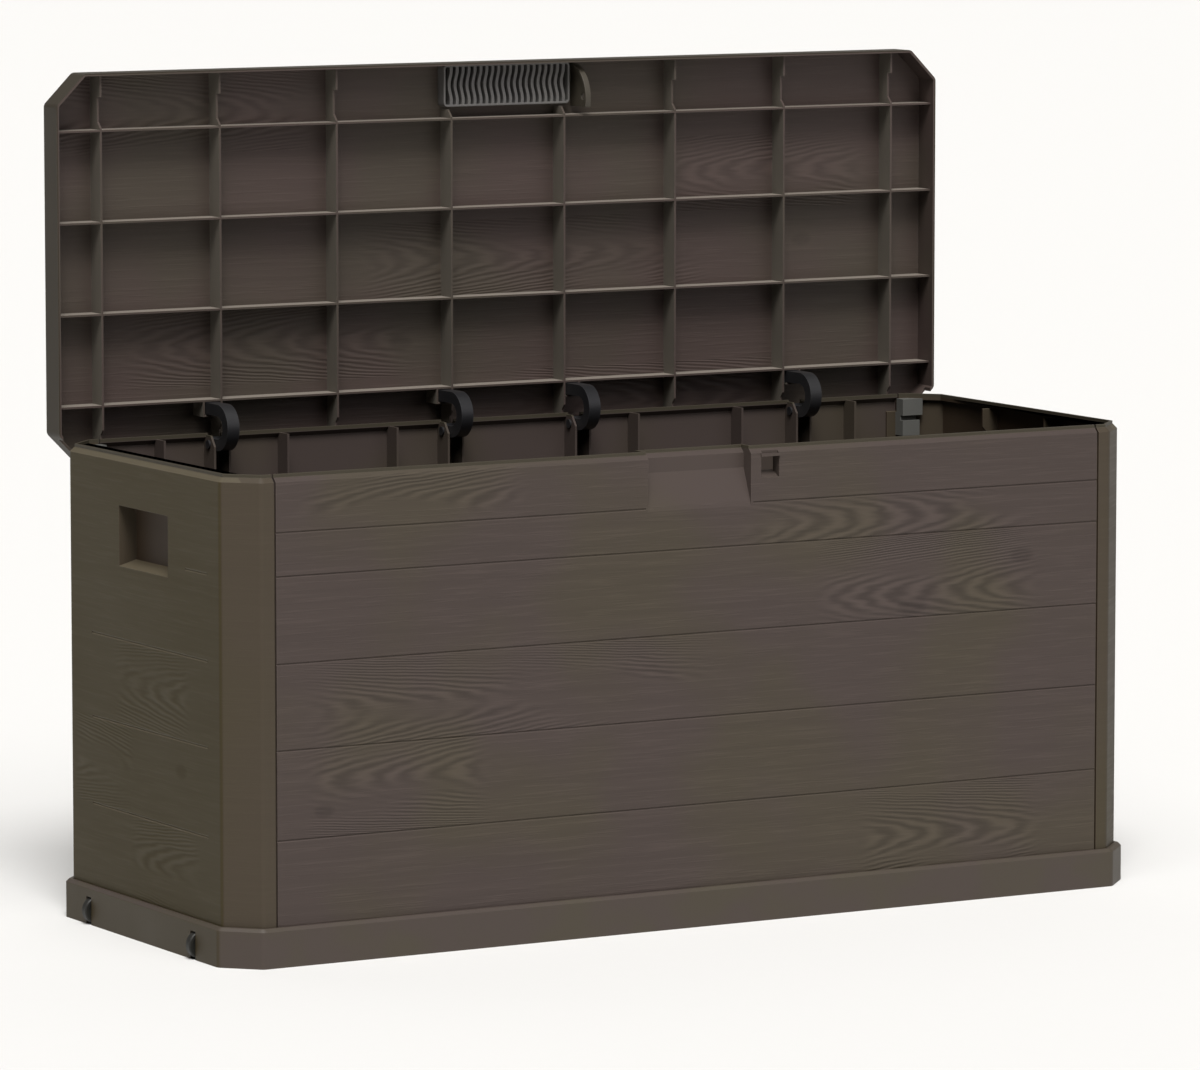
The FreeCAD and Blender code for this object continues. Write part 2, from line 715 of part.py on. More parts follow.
def make_lock_tongue():
    """A curved tongue with a web inside its bend, whose tip comes down behind the lock hole."""
    body = new_body("lock_tongue")
    right = tongue_left + tongue_width
    centre_y = tongue_radius + 2 - skirt_inner_y
    disc = circle(centre_y, lid_inner, tongue_radius)
    inside = circle(centre_y, lid_inner, tongue_radius - tongue_band)
    pad(body, "YZ", tongue_left, right, disc)
    cheek = (tongue_width - tongue_web) / 2
    pocket(body, "YZ", tongue_left - 1, tongue_left + cheek, inside)
    pocket(body, "YZ", right - cheek, right + 1, inside)
    reach = tongue_radius + 2
    above = rectangle(centre_y - reach, centre_y + reach, lid_inner, lid_inner + reach)
    behind = rectangle(centre_y + 10, centre_y + reach, lid_inner - reach, lid_inner + 1)
    pocket(body, "YZ", tongue_left - 1, right + 1, above)
    pocket(body, "YZ", tongue_left - 1, right + 1, behind)
    eye = circle(centre_y - 2, lid_inner - tongue_radius + tongue_band + tongue_eye + 3, tongue_eye)
    pocket(body, "YZ", tongue_left - 1, right + 1, eye)
    swing_open(body)


# ---- the hinges ----
def make_hinge_arm(name, place):
    """A gooseneck: down from the foot on the lid, round a half turn, and up to the eye on the pin."""
    body = new_body(name + "_arm")
    half = arm_thick / 2
    bend_y, bend_z = hinge_y - arm_reach / 2, hinge_z - arm_drop
    low, high = place - arm_width / 2, place + arm_width / 2
    outer = circle(bend_y, bend_z, arm_reach / 2 + half)
    inner = circle(bend_y, bend_z, arm_reach / 2 - half)
    pad(body, "YZ", low, high, outer, inner)
    reach = arm_reach / 2 + half + 1
    pocket(body, "YZ", low - 1, high + 1, rectangle(bend_y - reach, bend_y + reach, bend_z, bend_z + reach))
    leg = hinge_y - arm_reach
    pad(body, "YZ", low, high, rectangle(leg - half, leg + half, bend_z - 0.5, lid_inner))
    pad(body, "YZ", low, high, rectangle(hinge_y - half, hinge_y + half, bend_z - 0.5, hinge_z))
    pad(body, "YZ", low, high, circle(hinge_y, hinge_z, arm_eye))
    foot = rectangle(leg - foot_thick / 2, leg + foot_thick / 2, lid_inner - foot_height, lid_inner)
    pad(body, "YZ", place - foot_width / 2, place + foot_width / 2, foot)
    pocket(body, "YZ", low - 1, high + 1, circle(hinge_y, hinge_z, pin_radius + pin_play))
    swing_open(body)


def make_hinge_pin(name, place):
    """A headed pin through both ears."""
    body = new_body(name + "_pin")
    reach = ear_gap / 2 + ear_thick
    low, high = place - reach - pin_head, place + reach + pin_head
    pad(body, "YZ", low, high, circle(hinge_y, hinge_z, pin_radius))
    pad(body, "YZ", low, low + pin_head, circle(hinge_y, hinge_z, pin_radius + 2))


# ---- the two wheels at the left end ----
def make_wheel(name, side):
    body = new_body(name + "_wheel")
    centre = side * wheel_y
    low, high = centre - wheel_width / 2, centre + wheel_width / 2
    pad(body, "XZ", low, high, circle(-wheel_x, wheel_z, wheel_radius))
    rim = wheel_radius.value

    def tread_edge(edge):
        return edge.Curve.TypeId == "Part::GeomCircle" and abs(edge.Curve.Radius - rim) < 0.01

    dress("Chamfer", body, wheel_bevel, tread_edge)
    ring, hub = circle(-wheel_x, wheel_z, wheel_radius - 4), circle(-wheel_x, wheel_z, hub_radius)
    pocket(body, "XZ", low - 1, low + hub_recess, ring, hub)
    pocket(body, "XZ", high - hub_recess, high + 1, ring, hub)
    pocket(body, "XZ", low - 1, high + 1, circle(-wheel_x, wheel_z, axle_radius + axle_play))


def make_axle(name, side):
    body = new_body(name + "_axle")
    reach = slot_width / 2 + carrier_thick
    centre = side * wheel_y
    pad(body, "XZ", centre - reach, centre + reach, circle(-wheel_x, wheel_z, axle_radius))


def check_and_write():
    """Stops on any failed object, and on a pad or pocket that changed nothing, then writes the pieces."""
    doc.recompute()
    for item in doc.Objects:
        if "Invalid" in item.State or "Error" in item.State:
            raise RuntimeError(f"{item.Label} failed: {item.State}")
        if item.TypeId in ("PartDesign::Pad", "PartDesign::Pocket") and item.BaseFeature:
            change = item.Shape.Volume - item.BaseFeature.Shape.Volume
            if change * (1 if item.TypeId.endswith("Pad") else -1) <= 0:
                raise RuntimeError(f"{item.Label} changed nothing: {change:.2f} mm3")
    os.makedirs("parts", exist_ok=True)
    for body in pieces:
        if body.Shape.isNull() or not body.Shape.isValid() or len(body.Shape.Solids) != 1:
            raise RuntimeError(f"{body.Label}: {len(body.Shape.Solids)} solids, valid {body.Shape.isValid()}")
        body.Shape.exportStep(f"parts/{body.Label}.step")
        box = body.Shape.BoundBox
        print(f"{body.Label:26s} {body.Shape.Volume / 1000:9.1f} cm3  x {box.XMin:7.1f} {box.XMax:7.1f}"
              f"  y {box.YMin:7.1f} {box.YMax:7.1f}  z {box.ZMin:7.1f} {box.ZMax:7.1f}")


make_base_tray()
make_front_panel()
make_rear_panel()
end_wall("left_end_panel", -1)
end_wall("right_end_panel", 1)
make_corner_clips()
make_lid_panel()
make_lid_grip()
make_lock_tongue()
for hinge_name, hinge_place in hinge_places.items():
    make_hinge_arm(hinge_name, hinge_place)
    make_hinge_pin(hinge_name, hinge_place)
for wheel_name, wheel_side in (("front", -1), ("rear", 1)):
    make_wheel(wheel_name, wheel_side)
    make_axle(wheel_name, wheel_side)
check_and_write()
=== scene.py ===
import math

import bmesh
import bpy
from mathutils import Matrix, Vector


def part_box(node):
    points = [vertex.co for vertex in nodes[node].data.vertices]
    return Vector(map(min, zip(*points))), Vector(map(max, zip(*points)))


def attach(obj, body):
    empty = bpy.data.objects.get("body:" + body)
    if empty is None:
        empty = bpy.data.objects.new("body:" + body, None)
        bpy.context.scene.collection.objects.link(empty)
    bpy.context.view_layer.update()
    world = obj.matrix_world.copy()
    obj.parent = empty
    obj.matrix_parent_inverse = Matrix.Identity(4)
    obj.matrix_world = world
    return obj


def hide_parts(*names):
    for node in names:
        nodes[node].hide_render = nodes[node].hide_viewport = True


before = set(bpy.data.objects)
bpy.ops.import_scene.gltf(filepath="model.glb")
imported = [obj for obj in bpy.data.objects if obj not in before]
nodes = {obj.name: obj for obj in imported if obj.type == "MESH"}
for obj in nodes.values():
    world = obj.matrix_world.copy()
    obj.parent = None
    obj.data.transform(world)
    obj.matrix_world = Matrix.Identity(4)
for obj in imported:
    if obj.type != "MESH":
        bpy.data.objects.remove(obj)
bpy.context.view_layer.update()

mm = 0.001
print("frame loaded:", len(nodes), "pieces")


# camera, floor and lamps
view = {
    "place": (-4.01765, -6.97954, 1.35720),
    "turn": 0.52207,  # to the right of straight ahead, radians
    "down": 0.1164,
    "lens": 214.868,
    "film": 36.0,
}

room = {
    "floorSize": 60.0,
    "floorColour": (0.73, 0.73, 0.715, 1),
    "sky": (1.0, 0.97, 0.88, 1),
    "skyStrength": 0.04,
}

lamps = [
    # name, where the light comes from, strength, how wide it looks (degrees), colour
    ("keyLamp", (-0.22, -0.46, 0.86), 2.5, 20.0, (1.0, 0.985, 0.98)),
    ("softLamp", (-0.24, -0.48, 0.84), 1.9, 50.0, (1.0, 0.985, 0.98)),
    ("sideLamp", (0.45, -0.80, 0.40), 0.35, 40.0, (1.0, 0.97, 1.0)),
    ("backLamp", (0.35, 0.80, 0.48), 0.7, 100.0, (1.0, 0.98, 0.96)),
]


def makeCamera():
    cameraData = bpy.data.cameras.new("camera")
    cameraData.lens = view["lens"]
    cameraData.sensor_width = view["film"]
    cameraData.sensor_fit = "HORIZONTAL"
    cameraData.clip_end = 200
    camera = bpy.data.objects.new("camera", cameraData)
    camera.location = view["place"]
    camera.rotation_euler = (math.pi / 2 - view["down"], 0, -view["turn"])
    bpy.context.scene.collection.objects.link(camera)
    bpy.context.scene.camera = camera


def makeLamps():
    for name, source, strength, width, colour in lamps:
        lampData = bpy.data.lights.new(name, "SUN")
        lampData.energy = strength
        lampData.angle = math.radians(width)
        lampData.color = colour
        lamp = bpy.data.objects.new(name, lampData)
        lamp.rotation_euler = Vector(source).to_track_quat("Z", "Y").to_euler()
        bpy.context.scene.collection.objects.link(lamp)


makeCamera()
makeLamps()
print("camera and lamps ready")


# small helpers for shader nodes
def addNode(tree, kind, **settings):
    made = tree.nodes.new(kind)
    for name, value in settings.items():
        setattr(made, name, value)
    return made


def feed(tree, socket, value):
    if isinstance(value, bpy.types.NodeSocket):
        tree.links.new(value, socket)
    else:
        socket.default_value = value


def calc(tree, operation, *values):
    made = addNode(tree, "ShaderNodeMath", operation=operation)
    for socket, value in zip(made.inputs, values):
        feed(tree, socket, value)
    return made.outputs[0]


def position(tree):
    place = addNode(tree, "ShaderNodeTexCoord")
    split = addNode(tree, "ShaderNodeSeparateXYZ")
    tree.links.new(place.outputs["Object"], split.inputs[0])
    return place.outputs["Object"], split.outputs


def stretched(tree, x, y, z, scales, shift=0.0):
    join = addNode(tree, "ShaderNodeCombineXYZ")
    for socket, value, scale in zip(join.inputs, (x, y, z), scales):
        feed(tree, socket, calc(tree, "MULTIPLY_ADD", value, scale, shift))
    return join.outputs[0]


def noise(tree, vector, scale=1.0, detail=2.0, roughness=0.5, twist=0.0):
    made = addNode(tree, "ShaderNodeTexNoise")
    tree.links.new(vector, made.inputs["Vector"])
    made.inputs["Scale"].default_value = scale
    made.inputs["Detail"].default_value = detail
    made.inputs["Roughness"].default_value = roughness
    made.inputs["Distortion"].default_value = twist
    return made.outputs["Fac"]


def between(tree, value, low, high, toLow=0.0, toHigh=1.0):
    made = addNode(tree, "ShaderNodeMapRange", interpolation_type="SMOOTHSTEP")
    for name, amount in zip(("Value", "From Min", "From Max", "To Min", "To Max"),
                            (value, low, high, toLow, toHigh)):
        feed(tree, made.inputs[name], amount)
    return made.outputs["Result"]


def mixColour(tree, share, first, second):
    made = addNode(tree, "ShaderNodeMix", data_type="RGBA")
    feed(tree, made.inputs["Factor"], share)
    feed(tree, made.inputs[6], first)
    feed(tree, made.inputs[7], second)
    return made.outputs[2]


# edge mask for a lighter colour along edges: partly wear, partly a painted highlight
def edgeShare(tree, radius):
    rounded = addNode(tree, "ShaderNodeBevel", samples=4)
    rounded.inputs["Radius"].default_value = radius
    flat = addNode(tree, "ShaderNodeNewGeometry")
    compare = addNode(tree, "ShaderNodeVectorMath", operation="DOT_PRODUCT")
    tree.links.new(rounded.outputs[0], compare.inputs[0])
    tree.links.new(flat.outputs["Normal"], compare.inputs[1])
    return between(tree, compare.outputs["Value"], 0.99, 0.8)


def facing(tree, side):
    # 1 on faces that look along an axis, either way, and 0 on the others
    place = addNode(tree, "ShaderNodeTexCoord")
    compare = addNode(tree, "ShaderNodeVectorMath", operation="DOT_PRODUCT")
    tree.links.new(place.outputs["Normal"], compare.inputs[0])
    compare.inputs[1].default_value = side
    return between(tree, calc(tree, "ABSOLUTE", compare.outputs["Value"]), 0.7, 0.95)


# painted light and shade: faces turned one way get a lighter or darker colour in place of the light that
# falls on them
def paintLightByFacing(tree, x, base, lightAndShadeFacings):
    # each entry: the way the faces look, the colour of the painted light or shade they get, and how far out
    # from the middle they are
    sideways = calc(tree, "ABSOLUTE", x)
    for side, colour, nearest, farthest in lightAndShadeFacings:
        here = calc(tree, "MULTIPLY", calc(tree, "GREATER_THAN", sideways, nearest),
                    calc(tree, "LESS_THAN", sideways, farthest))
        here = calc(tree, "MULTIPLY", here, facing(tree, side))
        base = mixColour(tree, here, base, colour)
    return base


def newFinish(name):
    finish = bpy.data.materials.new(name)
    finish.use_nodes = True
    tree = finish.node_tree
    tree.nodes.clear()
    shader = addNode(tree, "ShaderNodeBsdfPrincipled")
    output = addNode(tree, "ShaderNodeOutputMaterial")
    tree.links.new(shader.outputs[0], output.inputs[0])
    return finish, tree, shader


def bump(tree, height, distance, strength):
    made = addNode(tree, "ShaderNodeBump")
    made.inputs["Strength"].default_value = strength
    made.inputs["Distance"].default_value = distance
    tree.links.new(height, made.inputs["Height"])
    return made.outputs[0]


def srgb(red, green, blue):
    parts = [c / 255 for c in (red, green, blue)]
    return tuple(c / 12.92 if c < 0.04045 else ((c + 0.055) / 1.055) ** 2.4 for c in parts) + (1,)


# moulded wood grain
grain = {
    "dashAlong": 16.0,      # fine dashes, repeats a metre
    "dashAcross": 330.0,
    "streakAlong": 3.0,     # long soft streaks
    "streakAcross": 120.0,
    "ringsAlong": 24.0,     # growth rings a metre, along the board
    "ringsAcross": 9.0,     # rings from the middle of a board to 50 mm above it
    "wander": 2.6,          # how far the rings drift, and how much they tremble, in rings
    "shiver": 0.9,
    "dashShare": 0.26,      # how much of the relief comes from each
    "streakShare": 0.15,
    "ringShare": 0.8,
    "knotShare": 0.7,
    "knotStretch": 1.7,
    "ringRise": 50 * mm,
    "wanderScale": (3.4, 3.4, 14.0),
    "shiverScale": (22.0, 22.0, 120.0),
    "patchScale": (4.0, 4.0, 22.0),
    "cloud": 5.0,
    "pebbleShare": 0.10,
    "heightRough": -0.10,   # how much the relief and the soft patches change the roughness
    "cloudRough": 0.14,
    "depth": 0.35 * mm,
    "pebble": 700,
    "gloss": 0.22,
    "edge": 1.6 * mm,
    "edgeWearAndHighlight": 0.2,
}


def byBoard(tree, steps, values):
    # one value for each board, lowest board first
    total = calc(tree, "ADD", values[0], 0.0)
    for above, before, after in zip(steps, values, values[1:]):
        total = calc(tree, "MULTIPLY_ADD", above, after - before, total)
    return total


def woodGrain(tree, spec):
    whole, (x, y, z) = position(tree)
    g = grain
    steps = [calc(tree, "GREATER_THAN", z, joint) for joint in spec["joints"]]
    levels = [spec["low"]] + spec["joints"] + [spec["high"]]
    middles = [(a + b) / 2 for a, b in zip(levels, levels[1:])]
    arches = spec["arches"]
    middle = byBoard(tree, steps, [m + arch["lift"] for m, arch in zip(middles, arches)])
    centre = byBoard(tree, steps, [arch["at"] for arch in arches])
    reach = byBoard(tree, steps, [arch["reach"] for arch in arches])
    way = byBoard(tree, steps, [arch["way"] for arch in arches])
    shift = byBoard(tree, steps, [7.3 * n + spec["seed"] for n in range(len(arches))])

    along = {"X": x, "Y": y}[spec["along"]]
    across = {"X": y, "Y": x}[spec["along"]]
    along = calc(tree, "MULTIPLY_ADD", calc(tree, "GREATER_THAN", across, 0.0), spec["farShift"], along)
    dash = noise(tree, stretched(tree, x, y, z, (g["dashAlong"],) * 2 + (g["dashAcross"],), shift),
                 1, 2, 0.55)
    streak = noise(tree, stretched(tree, x, y, z, (g["streakAlong"],) * 2 + (g["streakAcross"],), shift),
                   1, 3, 0.6, 0.3)

    # growth rings cut by the face of the board: nested arches
    run = calc(tree, "SUBTRACT", along, centre)
    rise = calc(tree, "MULTIPLY", calc(tree, "SUBTRACT", z, middle), 1 / g["ringRise"])
    bend = calc(tree, "MULTIPLY", calc(tree, "MULTIPLY", rise, rise), g["ringsAcross"])
    wander = noise(tree, stretched(tree, x, y, z, g["wanderScale"], shift), 1, 2, 0.5)
    shiver = noise(tree, stretched(tree, x, y, z, g["shiverScale"], shift), 1, 1, 0.5)
    turns = calc(tree, "MULTIPLY", calc(tree, "MULTIPLY", run, way), g["ringsAlong"])
    turns = calc(tree, "ADD", turns, bend)
    turns = calc(tree, "MULTIPLY_ADD", wander, g["wander"], turns)
    turns = calc(tree, "MULTIPLY_ADD", shiver, g["shiver"], turns)
    rings = calc(tree, "SINE", calc(tree, "MULTIPLY", turns, math.tau))

    # the arches fade out away from their middle
    far = calc(tree, "DIVIDE", run, reach)
    fade = calc(tree, "SUBTRACT", 1.0, calc(tree, "MULTIPLY", far, far))
    patch = noise(tree, stretched(tree, x, y, z, g["patchScale"], shift), 1, 1, 0.5)
    patch = calc(tree, "MULTIPLY", between(tree, patch, 0.34, 0.52), between(tree, fade, 0.0, 0.6))

    dashes = between(tree, dash, 0.46, 0.74, -0.7, 1.2)
    streaks = between(tree, streak, 0.30, 0.70, -1.0, 1.0)
    calm = calc(tree, "MULTIPLY_ADD", patch, -0.6, 1.0)
    height = calc(tree, "MULTIPLY", calc(tree, "MULTIPLY", dashes, g["dashShare"]), calm)
    height = calc(tree, "MULTIPLY_ADD", streaks, g["streakShare"], height)
    height = calc(tree, "MULTIPLY_ADD", calc(tree, "MULTIPLY", rings, patch), g["ringShare"], height)
    for knotX, knotZ, width in spec["knots"]:
        dx = calc(tree, "DIVIDE", calc(tree, "SUBTRACT", along, knotX), width * g["knotStretch"])
        dz = calc(tree, "DIVIDE", calc(tree, "SUBTRACT", z, knotZ), width)
        away = calc(tree, "ADD", calc(tree, "MULTIPLY", dx, dx), calc(tree, "MULTIPLY", dz, dz))
        dip = between(tree, away, 1.0, 0.1, 0.0, g["knotShare"])
        height = calc(tree, "SUBTRACT", height, dip)
    return whole, (x, y, z), height


def makeGrained(name, spec):
    finish, tree, shader = newFinish(name)
    whole, (x, y, z), height = woodGrain(tree, spec)
    outside = spec["outside"](tree, x, y, z)
    pebble = noise(tree, whole, grain["pebble"], 2, 0.6)
    lifted = calc(tree, "MULTIPLY", height, outside)
    relief = calc(tree, "MULTIPLY_ADD", pebble, grain["pebbleShare"], lifted)
    cloud = noise(tree, whole, grain["cloud"], 2, 0.5)
    base = mixColour(tree, between(tree, cloud, 0.40, 0.66), spec["colour"], spec["tint"])
    # painted light and shade on faces, by the way they face
    base = paintLightByFacing(tree, x, base, spec["facing"])
    # a zone in another colour: the thin lip on the walls, and the darker painted shade on the lid's skirt
    base = mixColour(tree, spec["trim"](tree, x, z), base, spec["trimColour"])
    toned = addNode(tree, "ShaderNodeVectorMath", operation="SCALE")
    feed(tree, toned.inputs[0], base)
    feed(tree, toned.inputs["Scale"], calc(tree, "MULTIPLY_ADD", lifted, spec["contrast"], 1.0))
    # edges get a lighter colour: partly wear, partly a painted highlight
    wornAndLitEdge = edgeShare(tree, grain["edge"])
    paint = mixColour(tree, calc(tree, "MULTIPLY", wornAndLitEdge, grain["edgeWearAndHighlight"]), toned.outputs[0], spec["wornAndLitEdge"])
    tree.links.new(paint, shader.inputs["Base Color"])
    rough = calc(tree, "MULTIPLY_ADD", lifted, grain["heightRough"], spec["rough"])
    rough = calc(tree, "MULTIPLY_ADD", calc(tree, "SUBTRACT", cloud, 0.5), grain["cloudRough"], rough)
    tree.links.new(rough, shader.inputs["Roughness"])
    tree.links.new(bump(tree, relief, grain["depth"], spec["relief"]), shader.inputs["Normal"])
    shader.inputs["Specular IOR Level"].default_value = grain["gloss"]
    return finish


def outerSkin(halfX, halfY, corner):
    def share(tree, x, y, z):
        overX = calc(tree, "SUBTRACT", calc(tree, "ABSOLUTE", x), halfX)
        overY = calc(tree, "SUBTRACT", calc(tree, "ABSOLUTE", y), halfY)
        overCorner = calc(tree, "ADD", calc(tree, "ADD", overX, overY), corner)
        over = calc(tree, "MAXIMUM", calc(tree, "MAXIMUM", overX, overY), overCorner)
        return calc(tree, "GREATER_THAN", over, 0.0)
    return share


lidLimits = {
    # just inside the lid's outer faces, in metres, as the lid stands open
    "top": 0.2396,
    "end": 0.5765,
    "front": 0.9405,
    "frontCorner": 1.4845,  # sideways plus height
    "rearCorner": 0.0385,   # sideways less height
}


def lidSkin(tree, x, y, z):
    return calc(tree, "GREATER_THAN", y, lidLimits["top"])


def wallLip(tree, x, z):
    # the thin lip above the wall's shoulder
    return between(tree, z, 0.5285, 0.530)


def shadedLidSkirt(tree, x, z):
    # the outside of the lid's skirt: ends, front and the four corners, which get a darker painted shade
    sideways = calc(tree, "ABSOLUTE", x)
    end = calc(tree, "SUBTRACT", sideways, lidLimits["end"])
    front = calc(tree, "SUBTRACT", z, lidLimits["front"])
    frontCorner = calc(tree, "SUBTRACT", calc(tree, "ADD", sideways, z), lidLimits["frontCorner"])
    rearCorner = calc(tree, "SUBTRACT", calc(tree, "SUBTRACT", sideways, z), lidLimits["rearCorner"])
    over = calc(tree, "MAXIMUM", calc(tree, "MAXIMUM", end, front),
                calc(tree, "MAXIMUM", frontCorner, rearCorner))
    return calc(tree, "GREATER_THAN", over, 0.0)


def arch(at, reach, way=1.0, lift=0.0):
    return {"at": at, "reach": reach, "way": way, "lift": lift}


wallBoards = [arch(0.33, 0.13, 1, -0.01), arch(-0.38, 0.12, -1, 0.01), arch(-0.24, 0.27, 1, -0.012),
              arch(0.30, 0.16, -1, -0.02), arch(0.24, 0.21, 1, -0.004), arch(-0.36, 0.15, -1, -0.01)]
endBoards = [arch(-0.05, 0.09), arch(0.10, 0.08, -1), arch(-0.02, 0.10), arch(0.5, 0.05),
             arch(0.5, 0.05), arch(0.5, 0.05)]
lidBoards = [arch(0.2, 0.2), arch(-0.3, 0.2, -1), arch(0.05, 0.25), arch(0.36, 0.15, -1),
             arch(-0.42, 0.2)]

longWall = {
    "along": "X", "joints": [0.1365, 0.234, 0.328, 0.4225, 0.470], "low": 0.042, "high": 0.525,
    "arches": wallBoards, "knots": [(0.425, 0.390, 0.011), (0.278, 0.341, 0.014), (-0.47, 0.165, 0.009)],
    "seed": 3.0, "farShift": 0.31, "outside": outerSkin(0.5755, 0.2155, 0.0316),
    "colour": srgb(69, 60, 56), "tint": srgb(69, 62, 52), "wornAndLitEdge": srgb(104, 95, 87),
    "contrast": 0.26, "relief": 0.9, "rough": 0.56, "facing": [],
    "trim": wallLip, "trimColour": srgb(62, 57, 46),
}
endWall = dict(longWall, along="Y", arches=endBoards, seed=11.0, farShift=0.07, relief=0.4,
               knots=[(-0.09, 0.20, 0.010)], contrast=0.08,
               # the end walls' colour is darker and more olive than the long walls': partly their own colour,
               # partly painted shade
               colour=srgb(66, 58, 47), tint=srgb(65, 58, 44),
               # painted light and shade by facing: an olive painted light on the outer end faces, a darker
               # painted shade on the inner end faces and the back of the handle cup, and a painted highlight
               # on faces turned up or sloping up
               facing=[((1, 0, 0), srgb(58, 50, 28), 0.576, 1.0),
                       ((1, 0, 0), srgb(60, 49, 38), 0.5, 0.576),
                       ((0, 0, 1), srgb(92, 83, 66), 0.5, 1.0),
                       ((-0.7071, 0, 0.7071), srgb(84, 77, 62), 0.56, 1.0),
                       ((0.7071, 0, 0.7071), srgb(84, 77, 62), 0.56, 1.0)])
lidShell = {
    "along": "X", "joints": [0.583, 0.671, 0.759, 0.847], "low": 0.5, "high": 0.936,
    "arches": lidBoards, "knots": [(0.41, 0.72, 0.010), (-0.13, 0.62, 0.011)],
    "seed": 21.0, "farShift": 0.0, "outside": lidSkin,
    "colour": srgb(72, 61, 57), "tint": srgb(70, 63, 55), "wornAndLitEdge": srgb(112, 104, 97),
    "contrast": 0.17, "relief": 0.7, "rough": 0.52,
    # painted highlight: the ribs' sideways faces and the faces turned up get a lighter colour in place of the
    # light that falls on them
    "facing": [((1, 0, 0), srgb(95, 90, 82), 0.0, 0.573),
               ((0, 0, 1), srgb(126, 119, 110), 0.0, 0.573)],
    # the lid's skirt: a darker brown painted shade
    "trim": shadedLidSkirt, "trimColour": srgb(51, 45, 35),
}


plain = {
    "cloud": 14.0,       # soft patches and fine pebbles, repeats a metre
    "pebble": 900,
    "depth": 0.12 * mm,
    "edge": 1.2 * mm,
    "edgeWearAndHighlight": 0.25,
    "cloudRough": 0.16,
    "relief": 0.8,
    "gloss": 0.4,
}


def makePlain(name, colour, tint, wornAndLitEdge, rough, lightAndShadeFacings=()):
    finish, tree, shader = newFinish(name)
    whole, (x, y, z) = position(tree)
    cloud = noise(tree, whole, plain["cloud"], 2, 0.5)
    base = mixColour(tree, between(tree, cloud, 0.38, 0.66), colour, tint)
    # painted light and shade on faces, by the way they face
    base = paintLightByFacing(tree, x, base, lightAndShadeFacings)
    # edges get a lighter colour: partly wear, partly a painted highlight
    edge = edgeShare(tree, plain["edge"])
    paint = mixColour(tree, calc(tree, "MULTIPLY", edge, plain["edgeWearAndHighlight"]), base, wornAndLitEdge)
    tree.links.new(paint, shader.inputs["Base Color"])
    pebble = noise(tree, whole, plain["pebble"], 2, 0.6)
    vary = calc(tree, "MULTIPLY_ADD", calc(tree, "SUBTRACT", cloud, 0.5), plain["cloudRough"], rough)
    tree.links.new(vary, shader.inputs["Roughness"])
    tree.links.new(bump(tree, pebble, plain["depth"], plain["relief"]), shader.inputs["Normal"])
    shader.inputs["Specular IOR Level"].default_value = plain["gloss"]
    return finish


steel = {
    "scratch": (60, 900, 900),
    "dark": srgb(150, 150, 148),
    "light": srgb(188, 188, 184),
    "rough": 0.26,
    "scratchRough": 0.2,
    "depth": 0.03 * mm,
    "relief": 0.6,
}


def makeSteel(name):
    finish, tree, shader = newFinish(name)
    x, y, z = position(tree)[1]
    scratch = noise(tree, stretched(tree, x, y, z, steel["scratch"]), 1, 3, 0.6)
    base = mixColour(tree, scratch, steel["dark"], steel["light"])
    tree.links.new(base, shader.inputs["Base Color"])
    rough = calc(tree, "MULTIPLY_ADD", scratch, steel["scratchRough"], steel["rough"])
    tree.links.new(rough, shader.inputs["Roughness"])
    tree.links.new(bump(tree, scratch, steel["depth"], steel["relief"]), shader.inputs["Normal"])
    shader.inputs["Metallic"].default_value = 1.0
    return finish


finishes = {
    "longWall": makeGrained("wallPlasticLong", longWall),
    "endWall": makeGrained("wallPlasticEnd", endWall),
    "lid": makeGrained("lidPlastic", lidShell),
    # the tray's end faces get an olive painted light
    "tray": makePlain("trayPlastic", srgb(65, 56, 50), srgb(65, 58, 47), srgb(100, 91, 83), 0.55,
                      lightAndShadeFacings=[((1, 0, 0), srgb(55, 46, 27), 0.57, 1.0)]),
    "grip": makePlain("gripPlastic", srgb(88, 86, 85), srgb(93, 91, 88), srgb(126, 124, 120), 0.48),
    "tongue": makePlain("tonguePlastic", srgb(62, 57, 48), srgb(66, 61, 51), srgb(84, 79, 68), 0.5),
    "clip": makePlain("clipPlastic", srgb(84, 84, 81), srgb(91, 91, 87), srgb(130, 130, 126), 0.5),
    "hinge": makePlain("hingePlastic", srgb(30, 30, 32), srgb(36, 36, 37), srgb(84, 84, 86), 0.42),
    "wheel": makePlain("wheelPlastic", srgb(22, 22, 18), srgb(29, 28, 24), srgb(60, 60, 54), 0.55),
    "steel": makeSteel("pinSteel"),
}
finishOf = {
    "front_panel": "longWall", "rear_panel": "longWall",
    "left_end_panel": "endWall", "right_end_panel": "endWall",
    "base_tray": "tray", "lid_panel": "lid", "lid_grip": "grip", "lock_tongue": "tongue",
    "front_wheel": "wheel", "rear_wheel": "wheel",
    "front_axle": "steel", "rear_axle": "steel",
}
for name, node in nodes.items():
    kind = finishOf.get(name)
    if kind is None:
        kind = "clip" if name.endswith("clip") else "hinge"
    for place in node.material_slots:
        place.material = finishes[kind]
print("finishes ready")


# the slatted grip inside the lid's front edge
gripLook = {
    "rail": 2.4 * mm,
    "corner": 5 * mm,
    "slats": 20,
    "slatThick": 3.9 * mm,
    "slatFront": 0.8 * mm,   # behind the front of the frame
    "slatDepth": 10 * mm,
    "sway": 1.5 * mm,        # each slat snakes from side to side
    "waves": 1.25,
    "start": 0.15,
    "steps": 24,             # pieces down each slat
    "edge": 0.5 * mm,
    "edgeTurn": 50,          # edges sharper than this are rounded, degrees
}


